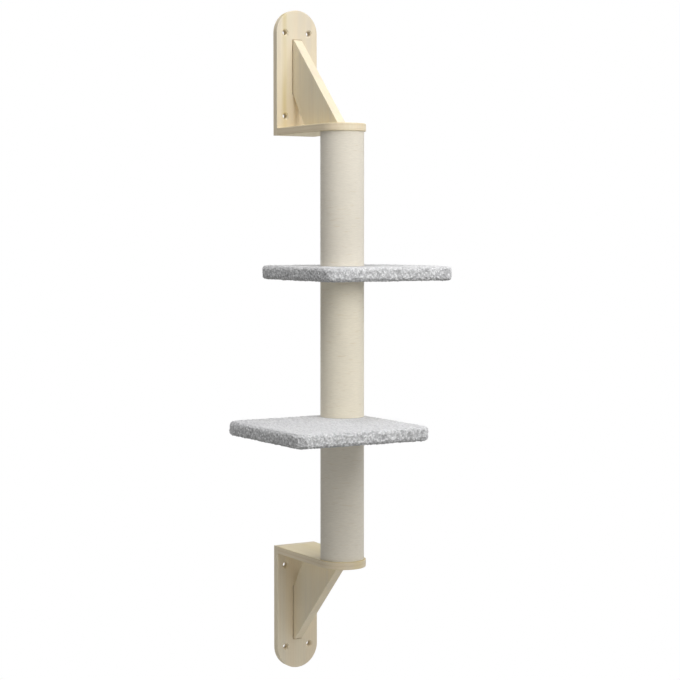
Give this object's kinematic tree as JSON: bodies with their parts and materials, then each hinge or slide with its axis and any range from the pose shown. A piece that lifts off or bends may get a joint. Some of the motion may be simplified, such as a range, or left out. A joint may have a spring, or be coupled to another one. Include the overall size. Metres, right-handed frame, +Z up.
{
  "type": "wall mounted cat tree",
  "caption": "Slim cat tree that hangs on a wall: a sisal covered post between two wooden strut brackets, with square plush platforms that swivel on the post.",
  "frame": {"origin": "middle of the upper wall plate's four holes, on its back face, where it meets the wall", "axes": "+Z up along the post, +Y into the wall, the front faces -Y, +X to the right seen from the front"},
  "size_m": [0.347, 0.3485, 1.085],
  "materials": {
    "pale_wood": "smooth sanded, clear matt",
    "dowel_wood": "bare",
    "plug_wood": "bare",
    "deck_wood": "bare",
    "paperboard": "wound paperboard",
    "sisal_cloth": "finely ribbed weave",
    "grey_plush": "short curly pile",
    "zinc_steel": "zinc plated"
  },
  "bodies": {
    "frame": {"upper_wall_plate": "pale_wood", "upper_shelf": "pale_wood", "upper_gusset": "pale_wood", "upper_bracket_screws": "zinc_steel", "upper_gusset_dowels": "dowel_wood", "upper_shelf_tee_nut": "zinc_steel", "upper_shelf_stud": "zinc_steel", "lower_wall_plate": "pale_wood", "lower_shelf": "pale_wood", "lower_gusset": "pale_wood", "lower_bracket_screws": "zinc_steel", "lower_gusset_dowels": "dowel_wood", "lower_shelf_tee_nut": "zinc_steel", "lower_shelf_stud": "zinc_steel", "top_post_sleeve": "sisal_cloth", "top_post_tube": "paperboard", "top_post_upper_plug": "plug_wood", "top_post_lower_plug": "plug_wood", "top_post_tee_nuts": "zinc_steel", "middle_post_sleeve": "sisal_cloth", "middle_post_tube": "paperboard", "middle_post_upper_plug": "plug_wood", "middle_post_lower_plug": "plug_wood", "middle_post_tee_nuts": "zinc_steel", "bottom_post_sleeve": "sisal_cloth", "bottom_post_tube": "paperboard", "bottom_post_upper_plug": "plug_wood", "bottom_post_lower_plug": "plug_wood", "bottom_post_tee_nuts": "zinc_steel", "upper_platform_stud": "zinc_steel", "lower_platform_stud": "zinc_steel"},
    "upper_platform": {"upper_platform_board": "deck_wood", "upper_platform_cover": "grey_plush", "upper_platform_underside": "grey_plush", "upper_platform_staples": "zinc_steel"},
    "lower_platform": {"lower_platform_board": "deck_wood", "lower_platform_cover": "grey_plush", "lower_platform_underside": "grey_plush", "lower_platform_staples": "zinc_steel"}
  },
  "joints": [
    {"name": "upper_platform_swivel", "type": "hinge", "parent": "frame", "child": "upper_platform", "pos_m": [0, -0.1585, -0.32325], "axis": [0, 0, 1], "range_deg": [-4, 1]},
    {"name": "lower_platform_swivel", "type": "hinge", "parent": "frame", "child": "lower_platform", "pos_m": [0, -0.1585, -0.56075], "axis": [0, 0, 1], "range_deg": [-45, 130]}
  ]
}
